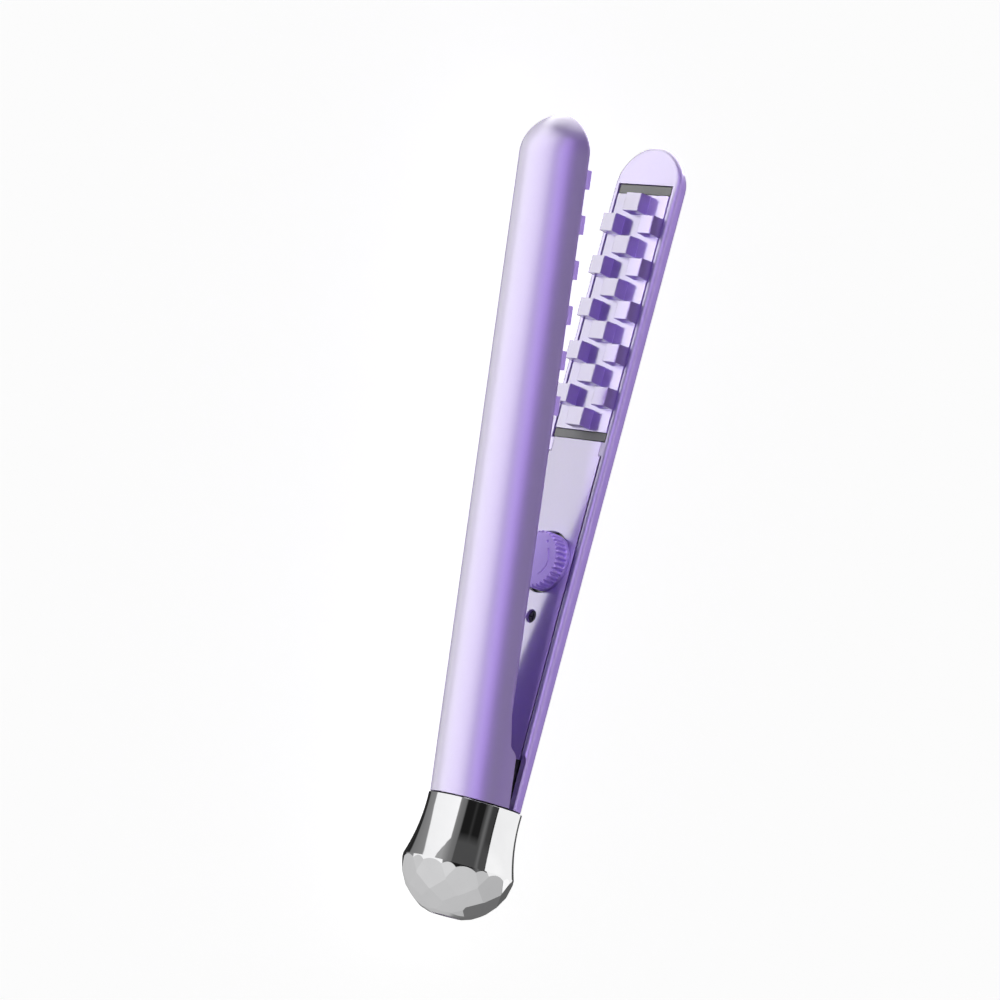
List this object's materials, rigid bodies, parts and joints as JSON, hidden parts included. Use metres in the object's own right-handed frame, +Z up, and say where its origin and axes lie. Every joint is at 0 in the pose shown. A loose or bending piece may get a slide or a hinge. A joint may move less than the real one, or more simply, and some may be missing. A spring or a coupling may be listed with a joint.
{
  "type": "hair crimper",
  "caption": "Small hair crimper with half-round lilac arms, toothed plates, temperature dial, slide switch and a faceted chrome foot.",
  "frame": {"origin": "middle of the bounding box in X and Y, on the table plane under the tool lying on its side with the arms open as let go", "axes": "+Y along the tool from the foot to the tips; +X the way arm A faces outward, so the arms part along X; +Z up from the table, along the hinge pin"},
  "size_m": [0.0514, 0.1944, 0.0274],
  "materials": {
    "lilac_shell": "soft-touch satin, lilac",
    "lilac_cover": "satin lilac moulding",
    "lilac_plate": "lilac ceramic coating on aluminium",
    "dark_frame": "matt heat-resistant black",
    "chrome": "bright mirror plating on the foot",
    "black_core": "matt black",
    "rubber": "matt rubber, greyed lilac",
    "steel": "bright steel",
    "spring_steel": "spring steel",
    "ceramic": "PTC heater in its jacket",
    "mica": "mica sheet",
    "fuse": "glazed fuse body",
    "wire": "silicone sleeving",
    "board": "black solder-masked board",
    "component": "moulded components"
  },
  "bodies": {
    "foot_and_arm_a": {"arm_a_shell": "lilac_shell", "arm_a_crimp_plate": "lilac_plate", "arm_a_heater_frame": "dark_frame", "arm_a_ptc_heater": "ceramic", "arm_a_insulator": "mica", "arm_a_clamp_spring": "spring_steel", "arm_a_thermal_fuse": "fuse", "arm_a_heater_leads": "wire", "arm_a_inner_cover": "lilac_cover", "arm_a_cover_screw": "steel", "chrome_base": "chrome", "cord_gland": "rubber", "base_core": "black_core", "hinge_pin": "steel", "arm_a_mount_screws": "steel", "control_board": "board", "board_screws": "steel", "board_components": "component", "dial_potentiometer": "component", "slide_switch_body": "black_core", "supply_leads": "wire", "hinge_spring": "spring_steel"},
    "arm_b": {"arm_b_shell": "lilac_shell", "arm_b_crimp_plate": "lilac_plate", "arm_b_heater_frame": "dark_frame", "arm_b_ptc_heater": "ceramic", "arm_b_insulator": "mica", "arm_b_clamp_spring": "spring_steel", "arm_b_thermal_fuse": "fuse", "arm_b_heater_leads": "wire", "arm_b_inner_cover": "lilac_cover", "arm_b_cover_screw": "steel", "arm_b_hinge_bracket": "spring_steel", "arm_b_mount_screws": "steel"},
    "dial": {"temperature_dial": "lilac_cover"},
    "switch_slider": {"switch_knob": "lilac_cover"}
  },
  "joints": [
    {"name": "arm_hinge", "type": "hinge", "parent": "foot_and_arm_a", "child": "arm_b", "pos_m": [0.01202, -0.07089, 0.0137], "axis": [0, 0, -1], "range_deg": [0, 9.8], "stiffness_Nm_per_rad": 0.9, "springref_deg": -14.32, "deforming": ["hinge_spring"]},
    {"name": "dial_turn", "type": "hinge", "parent": "foot_and_arm_a", "child": "dial", "pos_m": [0.01502, -0.00839, 0.0137], "axis": [-1, 0, 0], "range_deg": [0, 270]},
    {"name": "switch_slide", "type": "slide", "parent": "foot_and_arm_a", "child": "switch_slider", "axis": [0, -1, 0], "range_m": [0, 0.0033]}
  ]
}
